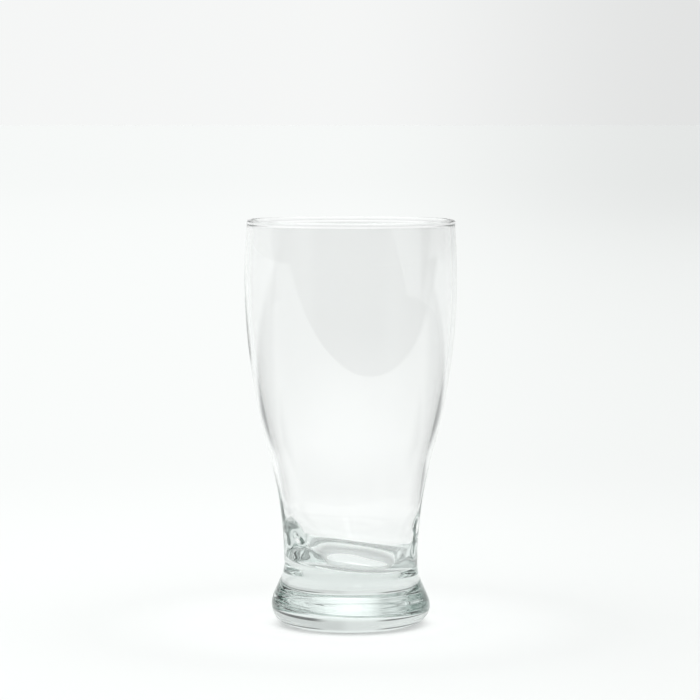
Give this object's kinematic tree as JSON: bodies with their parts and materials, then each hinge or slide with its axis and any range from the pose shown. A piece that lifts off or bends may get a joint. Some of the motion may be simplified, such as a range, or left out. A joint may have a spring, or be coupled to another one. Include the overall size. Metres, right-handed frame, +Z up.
{
  "type": "pint glass",
  "caption": "Clear footed pint glass: tulip bowl with a beaded rim, narrow waist and thick bottom, on a solid flared foot with a hollowed base.",
  "frame": {"origin": "centre of the ring that the glass stands on, in the standing plane", "axes": "+Z up, along the axis of the glass; the glass is round, so X and Y are any two directions across it"},
  "size_m": [0.0836, 0.0836, 0.16],
  "materials": {
    "bowl_glass": "fire-polished clear soda-lime glass",
    "foot_glass": "smooth clear soda-lime glass"
  },
  "bodies": {
    "root": {"bowl": "bowl_glass", "foot": "foot_glass"}
  },
  "joints": []
}
